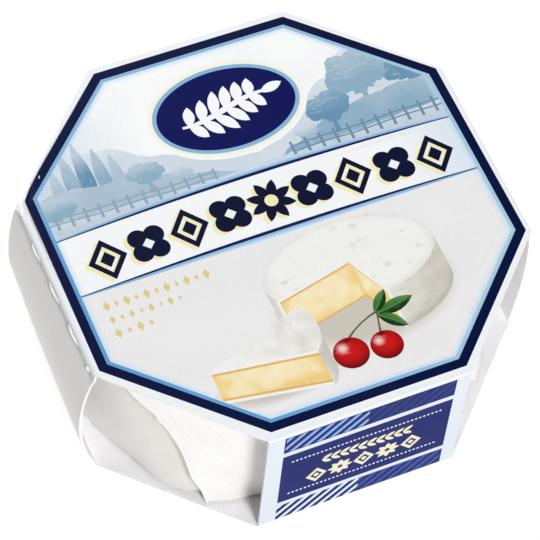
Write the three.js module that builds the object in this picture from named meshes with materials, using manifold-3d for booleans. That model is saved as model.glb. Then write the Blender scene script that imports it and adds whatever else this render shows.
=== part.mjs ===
// A small octagonal cheese carton, open at its four slanted sides, with a round
// cheese wrapped in pleated white paper inside. Millimetres, +Z up, the front
// panel faces -Y, and the origin is at the bottom centre of the bounding box.

import * as THREE from 'three';
import { mergeVertices } from 'three/addons/utils/BufferGeometryUtils.js';
import Module from 'manifold-3d';

const wasm = await Module();
wasm.setup();

// Carton: one folded sheet of board.
const HALF_WIDTH = 45; // centre to a straight panel
const HALF_PANEL = 20.6; // half the length of a straight panel
const HEIGHT = 34;
const BOARD = 0.5;
const FOLD = 0.8; // how far a fold's rounding reaches along both faces
const FOLD_STEPS = 3;

// The left and right panels stand out in an arc, more at one end than at the other.
const BOW_LEFT = { front: 3.1, back: 1.7 };
const BOW_RIGHT = { front: 1.1, back: 3.1 };
const NO_BOW = { front: 0, back: 0 };
const BOW_STEPS = 12;
const PANEL_STEPS = 4;

// Cheese in its paper.
const GAP = 0.3; // between the paper and the boards
const CHEESE_RADIUS = 43.7;
const BOTTOM_ROUNDING = 0.8;
const TOP_ROUNDING = 3;
const ROUNDING_STEPS = 3;
const BARREL = 0.15; // how far the side stands out at half height
const WALL_STEPS = 10;

// Pleats of the paper round the side. Each one has a free edge that leans, stands
// a little proud of its neighbour and sinks back into the side.
const PLEAT_COUNT = 13;
const FIRST_PLEAT = THREE.MathUtils.degToRad(233);
const PLEAT_LEAN = THREE.MathUtils.degToRad(0.45); // for each millimetre up
const PLEAT_CURL = THREE.MathUtils.degToRad(0.012); // for each square millimetre
const PLEAT_RISE = 0.55;
const PRESSED = 0.35; // the share of a pleat's rise that is left behind a panel
const PLEAT_STEPS = 8;
const EDGE_WIDTH = THREE.MathUtils.degToRad(0.7);
const PLEAT_JITTER = 0.22; // of the spacing
const SEED = 7;

// In a window the paper's foot stands out over the bottom board: in a flare at the
// lower corner of a pleat's free edge, and in a belly before the next pleat. The
// front left window shows both of these at their largest.
const FLARE_FRONT_LEFT = 2.3;
const BELLY_FRONT_LEFT = 1.9;
const FLARE_ELSEWHERE = 0.9;
const BELLY_ELSEWHERE = 0.8;
const FLARE_SPREAD = THREE.MathUtils.degToRad(7);
const BELLY_SPREAD = THREE.MathUtils.degToRad(9);
const BELLY_BACK = THREE.MathUtils.degToRad(8.6); // from the next pleat's edge
const SKIRT_HEIGHT = 24; // a flare or belly ends here
const SKIRT_CURVE = 1.3;

const boardMaterial = new THREE.MeshStandardMaterial({ color: 0xe9ebf2, roughness: 0.55, metalness: 0 });
const paperMaterial = new THREE.MeshStandardMaterial({ color: 0xefeeea, roughness: 0.75, metalness: 0 });

function toSolid(geometry) {
  const bare = geometry.clone();
  bare.deleteAttribute('normal');
  bare.deleteAttribute('uv');
  const merged = mergeVertices(bare);
  const vertProperties = new Float32Array(merged.attributes.position.array);
  const triVerts = new Uint32Array(merged.index.array);
  return new wasm.Manifold(new wasm.Mesh({ numProp: 3, vertProperties, triVerts }));
}

function toGeometry(solid) {
  const { numProp, vertProperties, triVerts } = solid.getMesh();
  const geometry = new THREE.BufferGeometry();
  const interleaved = new THREE.InterleavedBuffer(vertProperties, numProp);
  const positions = new Float32Array((vertProperties.length / numProp) * 3);
  const reader = new THREE.InterleavedBufferAttribute(interleaved, 3, 0);
  for (let i = 0; i < reader.count; i += 1) {
    positions.set([reader.getX(i), reader.getY(i), reader.getZ(i)], 3 * i);
  }
  geometry.setAttribute('position', new THREE.BufferAttribute(positions, 3));
  geometry.setIndex(new THREE.BufferAttribute(triVerts, 1));
  geometry.computeVertexNormals();
  return geometry;
}

// The distance of a side panel from the middle plane at one height.
function panelReach(z, bow) {
  const across = (2 * z) / HEIGHT - 1;
  return HALF_WIDTH + bow * (1 - across * across);
}

// Half of a sleeve's section, on the +X side and from the bottom up. The inner
// face lies a board's thickness inside the outer one.
function halfSection(bow, inset) {
  const low = new THREE.Vector2(HALF_WIDTH - FOLD, inset);
  const sideLow = new THREE.Vector2(panelReach(FOLD, bow) - inset, FOLD);
  const lowFold = new THREE.QuadraticBezierCurve(low, new THREE.Vector2(HALF_WIDTH - inset, inset), sideLow);
  const side = [];
  for (let i = 1; i < BOW_STEPS; i += 1) {
    const z = FOLD + ((HEIGHT - 2 * FOLD) * i) / BOW_STEPS;
    side.push(new THREE.Vector2(panelReach(z, bow) - inset, z));
  }
  const upwards = [...lowFold.getPoints(FOLD_STEPS), ...side];
  const mirrored = lowFold.getPoints(FOLD_STEPS).map((p) => new THREE.Vector2(p.x, HEIGHT - p.y));
  return [...upwards, ...mirrored.reverse()];
}

// A closed loop of a sleeve's section: right side upwards, left side downwards.
function section(bowRight, bowLeft, inset) {
  const right = halfSection(bowRight, inset);
  const left = halfSection(bowLeft, inset).map((p) => new THREE.Vector2(-p.x, p.y));
  return [...right, ...left.reverse()];
}

// A sleeve of board that runs along Y: two side panels with the strips of top
// and bottom between them. Its section changes evenly from end to end.
function sleeve(bowRight, bowLeft, steps) {
  const loops = [];
  for (let i = 0; i <= steps; i += 1) {
    const t = i / steps;
    const y = THREE.MathUtils.lerp(-HALF_PANEL, HALF_PANEL, t);
    const right = THREE.MathUtils.lerp(bowRight.front, bowRight.back, t);
    const left = THREE.MathUtils.lerp(bowLeft.front, bowLeft.back, t);
    for (const inset of [0, BOARD]) {
      loops.push(section(right, left, inset).map((p) => [p.x, y, p.y]));
    }
  }
  const around = loops[0].length;
  const index = [];
  const at = (station, inner, i) => (2 * station + inner) * around + (i % around);
  const quad = (a, b, c, d) => index.push(a, b, c, a, c, d);
  for (let i = 0; i < around; i += 1) {
    for (let s = 0; s < steps; s += 1) {
      quad(at(s, 0, i), at(s + 1, 0, i), at(s + 1, 0, i + 1), at(s, 0, i + 1));
      quad(at(s, 1, i + 1), at(s + 1, 1, i + 1), at(s + 1, 1, i), at(s, 1, i));
    }
    quad(at(0, 0, i), at(0, 0, i + 1), at(0, 1, i + 1), at(0, 1, i));
    quad(at(steps, 0, i + 1), at(steps, 0, i), at(steps, 1, i), at(steps, 1, i + 1));
  }
  return closedBody(loops.flat(), index);
}

// A geometry from points and triangles, turned inside out if it encloses a
// negative volume.
function closedBody(points, index) {
  const corners = points.map((p) => new THREE.Vector3(...p));
  let volume = 0;
  for (let i = 0; i < index.length; i += 3) {
    const [a, b, c] = [corners[index[i]], corners[index[i + 1]], corners[index[i + 2]]];
    volume += a.dot(new THREE.Vector3().crossVectors(b, c));
  }
  const geometry = new THREE.BufferGeometry().setFromPoints(corners);
  geometry.setIndex(volume < 0 ? [...index].reverse() : index);
  geometry.computeVertexNormals();
  return geometry;
}

// The octagon of the top or bottom board, kept off the folds' roundings.
function octagonPlate(z) {
  const reach = HALF_WIDTH - FOLD;
  const side = HALF_PANEL + FOLD;
  const corner = [[side, -reach], [reach, -side], [reach, side], [side, reach]];
  const opposite = corner.map(([x, y]) => [-x, -y]);
  const outline = new THREE.Shape([...corner, ...opposite].map(([x, y]) => new THREE.Vector2(x, y)));
  return new THREE.ExtrudeGeometry(outline, { depth: BOARD, bevelEnabled: false }).translate(0, 0, z);
}

function cartonGeometry() {
  const sideways = sleeve(BOW_RIGHT, BOW_LEFT, PANEL_STEPS);
  const lengthways = sleeve(NO_BOW, NO_BOW, 1).rotateZ(Math.PI / 2);
  const plates = [octagonPlate(0), octagonPlate(HEIGHT - BOARD)];
  const parts = [sideways, lengthways, ...plates].map(toSolid);
  return toGeometry(parts.reduce((whole, part) => whole.add(part)));
}

// A repeatable draw between 0 and 1.
function makeDraw(seed) {
  let state = seed;
  return () => {
    state = (state * 16807) % 2147483647;
    return state / 2147483647;
  };
}

// How near an angle is to the middle of a window, as a share from 0 to 1.
function windowShare(angle) {
  return Math.max(0, -Math.cos(4 * angle));
}

// Each pleat's free edge at the cheese's foot, with the next edge to its right.
function pleatEdges() {
  const draw = makeDraw(SEED);
  const spacing = (2 * Math.PI) / PLEAT_COUNT;
  const edges = [];
  for (let i = 0; i < PLEAT_COUNT; i += 1) {
    const shift = i === 0 ? 0 : (draw() - 0.5) * 2 * PLEAT_JITTER * spacing;
    const start = FIRST_PLEAT + i * spacing + shift;
    const flare = i === 0 ? FLARE_FRONT_LEFT : FLARE_ELSEWHERE * windowShare(start);
    edges.push({ start, flare, rise: PLEAT_RISE * (0.7 + 0.3 * draw()) });
  }
  return edges.map((edge, i) => {
    const last = i === PLEAT_COUNT - 1;
    const end = last ? edges[0].start + 2 * Math.PI : edges[i + 1].start;
    const belly = last ? BELLY_FRONT_LEFT : BELLY_ELSEWHERE * windowShare(end - BELLY_BACK);
    return { ...edge, end, belly };
  });
}

// How far a pleat stands out at an angle past its free edge, at a height.
function pleatHeight(pleat, past, z) {
  const width = pleat.end - pleat.start;
  const freedom = THREE.MathUtils.lerp(PRESSED, 1, windowShare(pleat.start + past));
  const fold = freedom * pleat.rise * (1 - past / width);
  const fromBelly = (width - past - BELLY_BACK) / BELLY_SPREAD;
  const flare = pleat.flare * Math.exp(-past / FLARE_SPREAD);
  const belly = pleat.belly * Math.exp(-fromBelly * fromBelly);
  const lower = Math.max(0, 1 - z / SKIRT_HEIGHT) ** SKIRT_CURVE;
  return fold + lower * (flare + belly);
}

// The side's profile from the foot to the top: radius, height and the share of
// the pleats' relief that shows there.
function sideProfile() {
  const low = BOARD + GAP;
  const high = HEIGHT - BOARD - GAP;
  const rings = [];
  for (let i = 0; i <= ROUNDING_STEPS; i += 1) {
    const turn = (Math.PI / 2) * (i / ROUNDING_STEPS);
    const radius = CHEESE_RADIUS - BOTTOM_ROUNDING * (1 - Math.sin(turn));
    rings.push({ radius, z: low + BOTTOM_ROUNDING * (1 - Math.cos(turn)), relief: 1 });
  }
  const wallLow = low + BOTTOM_ROUNDING;
  const wallHigh = high - TOP_ROUNDING;
  for (let i = 1; i < WALL_STEPS; i += 1) {
    const t = i / WALL_STEPS;
    const radius = CHEESE_RADIUS + BARREL * Math.sin(Math.PI * t);
    rings.push({ radius, z: THREE.MathUtils.lerp(wallLow, wallHigh, t), relief: 1 });
  }
  for (let i = 0; i <= ROUNDING_STEPS; i += 1) {
    const turn = (Math.PI / 2) * (i / ROUNDING_STEPS);
    const radius = CHEESE_RADIUS - TOP_ROUNDING * (1 - Math.cos(turn));
    rings.push({ radius, z: wallHigh + TOP_ROUNDING * Math.sin(turn), relief: Math.cos(turn) });
  }
  return rings;
}

function cheeseGeometry() {
  const columns = pleatEdges().flatMap((pleat) => {
    const width = pleat.end - EDGE_WIDTH - pleat.start;
    const past = Array.from({ length: PLEAT_STEPS + 1 }, (_, i) => (width * i) / PLEAT_STEPS);
    return past.map((angle) => ({ pleat, past: angle }));
  });
  const rings = sideProfile();
  const points = [];
  for (const { radius, z, relief } of rings) {
    const lean = PLEAT_LEAN * z + PLEAT_CURL * z * z;
    for (const { pleat, past } of columns) {
      const angle = pleat.start + past - lean;
      const reach = radius + relief * pleatHeight(pleat, past, z);
      points.push([reach * Math.cos(angle), reach * Math.sin(angle), z]);
    }
  }
  const around = columns.length;
  const foot = points.push([0, 0, rings[0].z]) - 1;
  const crown = points.push([0, 0, rings.at(-1).z]) - 1;
  const last = (rings.length - 1) * around;
  const index = [];
  for (let i = 0; i < around; i += 1) {
    const j = (i + 1) % around;
    for (let row = 0; row < last; row += around) {
      index.push(row + i, row + j, row + around + j);
      index.push(row + i, row + around + j, row + around + i);
    }
    index.push(foot, j, i);
    index.push(crown, last + i, last + j);
  }
  return closedBody(points, index);
}

const carton = new THREE.Mesh(cartonGeometry(), boardMaterial);
carton.name = 'carton';

const wrappedCheese = new THREE.Mesh(cheeseGeometry(), paperMaterial);
wrappedCheese.name = 'wrapped_cheese';

const boxedCheese = new THREE.Group();
boxedCheese.add(carton, wrappedCheese);

export default boxedCheese;
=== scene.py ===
# A boxed soft cheese: a printed octagonal carton, open at its four slanted sides,
# round a cheese in pleated white paper. Lengths below are in millimetres, and a
# mesh is scaled to metres as it is made.

from math import cos, degrees, exp, hypot, pi, radians, sin, sqrt

import bpy
from mathutils import Matrix, Vector, noise
from mathutils.geometry import delaunay_2d_cdt


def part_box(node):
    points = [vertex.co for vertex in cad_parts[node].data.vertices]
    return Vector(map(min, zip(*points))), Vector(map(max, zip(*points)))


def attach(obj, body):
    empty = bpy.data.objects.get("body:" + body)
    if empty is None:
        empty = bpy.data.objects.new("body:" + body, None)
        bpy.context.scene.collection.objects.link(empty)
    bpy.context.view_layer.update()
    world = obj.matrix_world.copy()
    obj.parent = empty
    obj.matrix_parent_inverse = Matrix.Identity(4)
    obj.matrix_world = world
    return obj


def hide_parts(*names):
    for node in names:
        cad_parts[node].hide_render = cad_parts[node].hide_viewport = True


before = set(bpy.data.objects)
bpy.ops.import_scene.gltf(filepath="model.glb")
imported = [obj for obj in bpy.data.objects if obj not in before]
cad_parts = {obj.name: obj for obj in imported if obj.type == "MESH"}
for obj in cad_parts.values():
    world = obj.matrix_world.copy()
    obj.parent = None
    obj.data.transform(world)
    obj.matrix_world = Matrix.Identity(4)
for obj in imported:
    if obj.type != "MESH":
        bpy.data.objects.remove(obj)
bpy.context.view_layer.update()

MM = 0.001
CARTON_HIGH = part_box("carton")[1] / MM
HALF_WIDTH = CARTON_HIGH.y
HEIGHT = CARTON_HIGH.z


def lerp(a, b, t):
    return a + (b - a) * t


def clamp(value, low=0.0, high=1.0):
    return max(low, min(high, value))


def smooth(low, high, value):
    t = clamp((value - low) / (high - low))
    return t * t * (3 - 2 * t)


def rgb(*colour):
    """An 8-bit sRGB colour as linear numbers."""
    shares = [c / 255 for c in colour]
    return tuple(s / 12.92 if s <= 0.04045 else ((s + 0.055) / 1.055) ** 2.4 for s in shares)


def mix(a, b, t):
    return tuple(lerp(p, q, clamp(t)) for p, q in zip(a, b))


def new_object(name, data):
    obj = bpy.data.objects.new(name, data)
    bpy.context.scene.collection.objects.link(obj)
    return obj


# Camera: above the carton, a little to the left of its front panel.
AIM = Vector((-5.797, -10.961, HEIGHT))
DISTANCE = 556.742
AZIMUTH = radians(28.812)
ELEVATION = radians(57.321)
ROLL = radians(6.565)
LENS = 196.118
SENSOR = 36


def make_camera():
    back = Vector((
        -sin(AZIMUTH) * cos(ELEVATION),
        -cos(AZIMUTH) * cos(ELEVATION),
        sin(ELEVATION),
    ))
    level_right = (-back).cross(Vector((0, 0, 1))).normalized()
    level_up = level_right.cross(-back)
    right = cos(ROLL) * level_right + sin(ROLL) * level_up
    up = cos(ROLL) * level_up - sin(ROLL) * level_right
    place = (AIM + DISTANCE * back) * MM
    data = bpy.data.cameras.new("camera")
    data.lens = LENS
    data.sensor_width = SENSOR
    data.clip_start = 0.01
    data.clip_end = 20
    camera = new_object("camera", data)
    turned = Matrix((right, up, back)).transposed().to_4x4()
    camera.matrix_world = Matrix.Translation(place) @ turned
    bpy.context.scene.camera = camera


make_camera()


# Inks of the print and whites of the board.
WHITE = rgb(242, 246, 249)
# The label's white is painted darker than the top's, as painted shade on the front and back panels.
LABEL_WHITE_SHADED = rgb(221, 228, 236)
# Painted shade along the score under the top fold of the left and right panels.
PAINTED_SCORE_SHADE = rgb(216, 221, 216)
BOARD_WHITE = rgb(247, 244, 240)
NAVY = rgb(3, 17, 62)
BORDER_BLUE_LEFT = rgb(97, 158, 211)
BORDER_BLUE_RIGHT = rgb(171, 206, 227)
GLOW_BLUE = rgb(188, 220, 248)
FIELD = rgb(236, 234, 234)
FIELD_LIGHT = rgb(241, 241, 241)
BAND_WHITE = rgb(245, 247, 248)
BAND_LIGHT = rgb(250, 252, 254)
LINE_NAVY = rgb(8, 28, 82)
LINE_GLOW = rgb(96, 160, 214)
LINE_GLOW_END = rgb(214, 234, 246)
SKY = rgb(253, 254, 254)
SKY_EDGE = rgb(222, 232, 240)
MIST = rgb(210, 221, 232)
HILL_PALE = rgb(194, 208, 221)
HILL = rgb(173, 194, 210)
WOOD = rgb(142, 177, 199)
WOOD_DARK = rgb(105, 149, 180)
WOOD_LIGHT = rgb(190, 209, 221)
LINE_WASH = rgb(112, 146, 170)
LINE_FAINT = rgb(144, 172, 191)
OVAL_NAVY = rgb(6, 16, 88)
RIM_BLUE = rgb(140, 184, 218)
PALE_GLOW = rgb(247, 247, 230)
GOLD = rgb(226, 206, 142)
GOLD_PALE = rgb(246, 238, 190)
MOTIF_NAVY = rgb(5, 15, 50)
CURD = rgb(247, 223, 160)
CURD_DEEP = rgb(238, 196, 112)
CURD_PALE = rgb(251, 239, 206)
CURD_EDGE = rgb(229, 184, 108)
RIND = rgb(244, 244, 241)
RIND_GREY = rgb(225, 222, 215)
RIND_SHADE = rgb(206, 201, 190)
RIND_DARK = rgb(166, 157, 140)
CHERRY = rgb(206, 20, 22)
CHERRY_DARK = rgb(112, 6, 12)
CHERRY_SHINE = rgb(252, 218, 210)
LEAF = rgb(36, 104, 40)
LEAF_DARK = rgb(12, 56, 24)
LEAF_LIGHT = rgb(104, 156, 84)
STEM = rgb(92, 98, 44)
LABEL_NAVY = rgb(22, 35, 105)
LABEL_FAINT = rgb(38, 52, 119)
LABEL_STRIPE = rgb(58, 90, 170)
LABEL_CORE = rgb(148, 175, 224)
LABEL_DEEP = rgb(8, 20, 84)
LABEL_PALE = rgb(232, 238, 248)
LABEL_ICE = rgb(196, 208, 240)
LABEL_MID = rgb(62, 80, 156)
CREAM = rgb(236, 228, 198)


# Plane outlines.
def signed_area(outline):
    total = 0.0
    for (ax, ay), (bx, by) in zip(outline, outline[1:] + outline[:1]):
        total += ax * by - bx * ay
    return total / 2


def moved(outline, dx, dy):
    return [(x + dx, y + dy) for x, y in outline]


def placed(outline, cx, cy, turn):
    c, s = cos(turn), sin(turn)
    return [(cx + c * x - s * y, cy + s * x + c * y) for x, y in outline]


def oval(cx, cy, rx, ry, count):
    steps = [2 * pi * i / count for i in range(count)]
    return [(cx + rx * cos(a), cy + ry * sin(a)) for a in steps]


def lozenge(width, height):
    return [(width / 2, 0), (0, height / 2), (-width / 2, 0), (0, -height / 2)]


LEAF_STEPS = 7


def leaf(length, width, bend=0.0):
    """A leaf that points along +X from the origin, with both sides curved."""
    along = [i / LEAF_STEPS for i in range(LEAF_STEPS + 1)]
    rise = [bend * t * t for t in along]
    half = [width / 2 * sin(pi * t) ** 0.8 for t in along]
    lower = [(length * t, b - h) for t, b, h in zip(along, rise, half)]
    upper = [(length * t, b + h) for t, b, h in zip(along, rise, half)]
    return lower + upper[-2:0:-1]


def stroke(points, width):
    """A line of one width, or of a width that runs over a list, as an outline."""
    widths = width if isinstance(width, list) else [width] * len(points)
    left, right = [], []
    for i, (x, y) in enumerate(points):
        ax, ay = points[max(0, i - 1)]
        bx, by = points[min(len(points) - 1, i + 1)]
        span = hypot(bx - ax, by - ay)
        nx, ny = -(by - ay) / span, (bx - ax) / span
        half = widths[i] / 2
        left.append((x + nx * half, y + ny * half))
        right.append((x - nx * half, y - ny * half))
    return right + left[::-1]


def clipped(outline, sides):
    """An outline cut by half planes a*x + b*y <= c."""
    for a, b, c in sides:
        kept = []
        for (px, py), (qx, qy) in zip(outline, outline[1:] + outline[:1]):
            p, q = c - a * px - b * py, c - a * qx - b * qy
            if p >= 0:
                kept.append((px, py))
            if (p > 0) != (q > 0) and p != q:
                t = p / (p - q)
                kept.append((lerp(px, qx, t), lerp(py, qy, t)))
        outline = kept
        if len(outline) < 3:
            return []
    return outline


def rectangle(x0, y0, x1, y1):
    return [(x0, y0), (x1, y0), (x1, y1), (x0, y1)]


def box_sides(x0, y0, x1, y1):
    return [(1, 0, x1), (-1, 0, -x0), (0, 1, y1), (0, -1, -y0)]


# The octagon of the boards: the ends of two neighbouring panels add up to CORNER.
HALF_PANEL = 20.6
CORNER = HALF_WIDTH + HALF_PANEL


def inset_at(x, y):
    """How far a point of the top lies inside the octagon's nearest side."""
    straight = HALF_WIDTH - max(abs(x), abs(y))
    slanted = (CORNER - abs(x) - abs(y)) / sqrt(2)
    return min(straight, slanted)


def mottle(x, y, size, seed=0.0):
    """Soft noise from -1 to 1 with spots of about the given size."""
    return noise.noise(Vector((x / size, y / size, seed)))


class Ink:
    """One printed area: an outline, its colour or colour function, and a hole."""

    def __init__(self, outline, colour, hole=None):
        self.outline = outline
        self.colour = colour if callable(colour) else (lambda x, y: colour)
        self.hole = hole

    def at(self, dx, dy, colour=None):
        """The same area moved, in its own colour or another one."""
        hole = self.hole and moved(self.hole, dx, dy)
        return Ink(moved(self.outline, dx, dy), colour or self.colour, hole)


def ccw(outline):
    return outline if signed_area(outline) > 0 else outline[::-1]


def print_sheet(outline, inks, guides, dots):
    """Splits a flat sheet along the outlines of its print.

    Returns the points, the triangles and, for each triangle, the ink that shows.
    Later inks lie over earlier ones. Guides and dots only add points, for soft
    changes of colour."""
    points, faces, owner = [], [], {}

    def add(path):
        path = ccw(path)
        first = len(points)
        points.extend(Vector(p) for p in path)
        faces.append(list(range(first, first + len(path))))
        return len(faces) - 1

    sheet = add(outline)
    for ink in inks:
        face = add(ink.outline)
        owner[face] = (ink, add(ink.hole) if ink.hole else None)
    for path in guides:
        add(path)
    points.extend(Vector(p) for p in dots)
    verts, _, tris, _, _, inside = delaunay_2d_cdt(points, [], faces, 1, 1e-5)
    kept, shown = [], []
    for tri, within in zip(tris, inside):
        if sheet not in within:
            continue
        held = set(within)
        uppermost_first = [owner[face] for face in sorted(held & owner.keys(), reverse=True)]
        kept.append(tuple(tri))
        shown.append(next((ink for ink, hole in uppermost_first if hole not in held), None))
    used = sorted({i for tri in kept for i in tri})
    renamed = {old: new for new, old in enumerate(used)}
    kept = [tuple(renamed[i] for i in tri) for tri in kept]
    return [(verts[i].x, verts[i].y) for i in used], kept, shown


ROW_PITCH = 0.866


def dots_in(x0, y0, x1, y1, pitch, keep=lambda x, y: True):
    """Points on a triangular grid, its rows a little closer than its points."""
    found = []
    rows = int((y1 - y0) / (pitch * ROW_PITCH)) + 1
    for r in range(rows):
        y = y0 + r * pitch * ROW_PITCH
        x = x0 + (pitch / 2 if r % 2 else 0)
        while x <= x1:
            if keep(x, y):
                found.append((x, y))
            x += pitch
    return found


# Print of the top: its border, the band across it and the pictures. The border isn't
# quite parallel to the board's edges. For each side, from the right one on round the
# back: how far it lies from the board's edge, and how much that grows along the side.
BORDER_PLACE = (
    (1.14, 0.0), (0.96, 0.022), (1.56, -0.003), (1.0, -0.022),
    (1.16, -0.007), (1.6, 0.022), (1.56, -0.005), (1.21, -0.009),
)
NAVY_WIDE = 1.86
BLUE_END = 2.6
GLOW_END = 3.9


def border_sides(inset):
    """Half planes that bound the border's outer outline, moved inwards by inset."""
    sides = []
    for k, (away, slope) in enumerate(BORDER_PLACE):
        c, s = cos(radians(45 * k)), sin(radians(45 * k))
        a, b = c - slope * s, s + slope * c
        reach = HALF_WIDTH if k % 2 == 0 else CORNER / sqrt(2)
        length = hypot(a, b)
        sides.append((a / length, b / length, (reach - away) / length - inset))
    return sides


def border(inset):
    return clipped(rectangle(-HALF_WIDTH, -HALF_WIDTH, HALF_WIDTH, HALF_WIDTH), border_sides(inset))


OUTER_SIDES = border_sides(0)
PICTURE_SIDES = border_sides(1.2)


def within_border(x, y):
    """How far a point of the top lies inside the border's outer outline."""
    return min(c - a * x - b * y for a, b, c in OUTER_SIDES)


BAND_TOP_MIDDLE = 10.4
BAND_TOP_END = 9.2
BAND_FOOT_MIDDLE = -3.0
BAND_FOOT_END = -3.7
BAND_HALF = 41.3
BAND_STEPS = 48


def band_top(x):
    return lerp(BAND_TOP_MIDDLE, BAND_TOP_END, (x / BAND_HALF) ** 2)


def band_foot(x):
    return lerp(BAND_FOOT_MIDDLE, BAND_FOOT_END, (x / BAND_HALF) ** 2)


def border_glow(x, y):
    return 1 - smooth(BLUE_END - 0.4, GLOW_END, within_border(x, y))


def border_blue(x, y):
    """Deeper at the left of the border's light line, paler towards its right."""
    paler = 0.42 + x / 84 + max(0, -x * y) / 2200 - 0.2 * smooth(30, 42, -y)
    return mix(BORDER_BLUE_LEFT, BORDER_BLUE_RIGHT, paler)


def with_glow(colour):
    """A colour function that turns light blue towards the border."""
    def shade(x, y):
        return mix(colour(x, y), GLOW_BLUE, 0.8 * border_glow(x, y))
    return shade


def field_colour(x, y):
    return mix(FIELD, FIELD_LIGHT, 0.5 + 0.5 * mottle(x, y, 14, 3.1))


def band_colour(x, y):
    paper_white = mix(BAND_WHITE, BAND_LIGHT, 0.5 + 0.5 * mottle(x, y, 10, 5.2))
    return mix(paper_white, SKY_EDGE, 0.9 * smooth(26, 42, x))


def washed(dark, light, low, high, seed):
    """Watercolour: darker at its foot, with soft blots and fine grain."""
    def shade(x, y):
        t = smooth(low, high, y) + 0.45 * mottle(x, y, 5.5, seed)
        t += 0.2 * mottle(x, y, 1.7, seed + 9)
        return mix(dark, light, t)
    return shade


def sky_colour(x, y):
    side = smooth(8, 40, abs(x) - 0.25 * (y - 10))
    t = 0.85 * side + 0.3 * mottle(x, y, 8, 1.7)
    return mix(SKY, SKY_EDGE, t)


LAND_FOOT = 8.6
RIDGE_STEPS = 40
RIDGE_ROUGH = 0.5


def ridge(heights, x0, x1, seed):
    """A hill's outline: its crest runs smoothly through evenly spaced heights."""
    crest = []
    for i in range(RIDGE_STEPS + 1):
        t = i / RIDGE_STEPS
        place = t * (len(heights) - 1)
        k = min(int(place), len(heights) - 2)
        y = lerp(heights[k], heights[k + 1], smooth(0, 1, place - k))
        x = lerp(x0, x1, t)
        crest.append((x, y + RIDGE_ROUGH * mottle(x, 0, 1.9, seed)))
    return [(x1, LAND_FOOT), *reversed(crest), (x0, LAND_FOOT)]


def in_picture(shapes):
    """Inks of (outline, colour) pairs, cut off where the border begins."""
    return [Ink(clipped(shape, PICTURE_SIDES), colour) for shape, colour in shapes]


CROWN_POINTS = 20


def crown(cx, cy, rx, ry, seed):
    """One lobe of a tree's crown, with an uneven edge."""
    rim = []
    for i in range(CROWN_POINTS):
        a = 2 * pi * i / CROWN_POINTS
        r = 1 + 0.06 * sin(5 * a + seed) + 0.045 * sin(11 * a + 2 * seed)
        rim.append((cx + rx * r * cos(a), cy + ry * r * sin(a)))
    return rim


LOBES = 8
DABS = 30
GOLDEN_TURN = pi * (3 - sqrt(5))


def tree(cx, foot, height, width, dark, light, seed):
    """A broad tree: its trunk, its crown of lobes, and dabs of lighter and darker leaves."""
    trunk = stroke([(cx - 0.15, foot), (cx, foot + height * 0.5)], [width * 0.11, width * 0.06])
    middle = foot + height * 0.62
    shade = washed(dark, light, foot + height * 0.3, foot + height * 1.02, seed)
    shapes = [(trunk, shade), (crown(cx, middle, width * 0.34, height * 0.27, seed), shade)]
    for k in range(LOBES):
        a = 2 * pi * k / LOBES + 0.3 * sin(seed + 2 * k)
        x, y = cx + 0.3 * width * cos(a), middle + 0.2 * height * sin(a)
        size = 1 + 0.18 * sin(3 * seed + 5 * k)
        shapes.append((crown(x, y, 0.17 * width * size, 0.15 * height * size, seed + k), shade))
    for k in range(DABS):
        a = GOLDEN_TURN * k + seed
        away = sqrt((k + 0.5) / DABS)
        x, y = cx + 0.4 * width * away * cos(a), middle + 0.3 * height * away * sin(a)
        tone = WOOD_LIGHT if cos(a - 2.2) + 0.6 * sin(5 * k) > 0.2 else dark
        dab = placed(oval(0, 0, 0.075 * width, 0.022 * height, 8), x, y, 0.5 * sin(7 * k))
        shapes.append((dab, mix(shade(x, y), tone, 0.28)))
    return in_picture(shapes)


POPLAR_SPREAD = (0.7, 0.92, 1.0, 0.96, 0.84, 0.66, 0.42, 0.12)


def poplar(cx, foot, height, width, dark, light, seed):
    """A slim tree, as wide at each height as its spread says, with lighter dabs."""
    last = len(POPLAR_SPREAD) - 1
    path = [(cx + 0.15 * mottle(k, seed, 1.3), foot + height * k / last) for k in range(last + 1)]
    shade = washed(dark, light, foot + 0.2 * height, foot + height, seed)
    shapes = [(stroke(path, [width * s for s in POPLAR_SPREAD]), shade)]
    for k in range(7):
        x = cx + 0.2 * width * sin(2.2 * k + seed)
        y = foot + height * (0.2 + 0.1 * k)
        dab = placed(oval(0, 0, 0.06 * width, 0.05 * height, 8), x, y, 0.35 * sin(3 * k))
        shapes.append((dab, mix(shade(x, y), WOOD_LIGHT, 0.22)))
    return in_picture(shapes)


def fence(x0, x1, y0, y1, post_pitch, tall, colour):
    """Rails and posts of a pasture fence that runs from (x0, y0) to (x1, y1)."""
    shapes = []
    count = int(abs(x1 - x0) / post_pitch)
    line = [(lerp(x0, x1, i / count), lerp(y0, y1, i / count)) for i in range(count + 1)]
    for level in (0.42, 0.82):
        rail = [(x, y + tall * level + 0.12 * sin(x * 1.7)) for x, y in line]
        shapes.append((stroke(rail, 0.34), colour))
    for k, (x, y) in enumerate(line):
        lean = 0.2 * sin(3.1 * k)
        shapes.append((stroke([(x, y), (x + lean, y + tall * 1.12)], [0.62, 0.5]), colour))
    return in_picture(shapes)


def hill(heights, x0, x1, dark, light, y0, y1, seed):
    return in_picture([(ridge(heights, x0, x1, seed), with_glow(washed(dark, light, y0, y1, seed)))])


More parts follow.
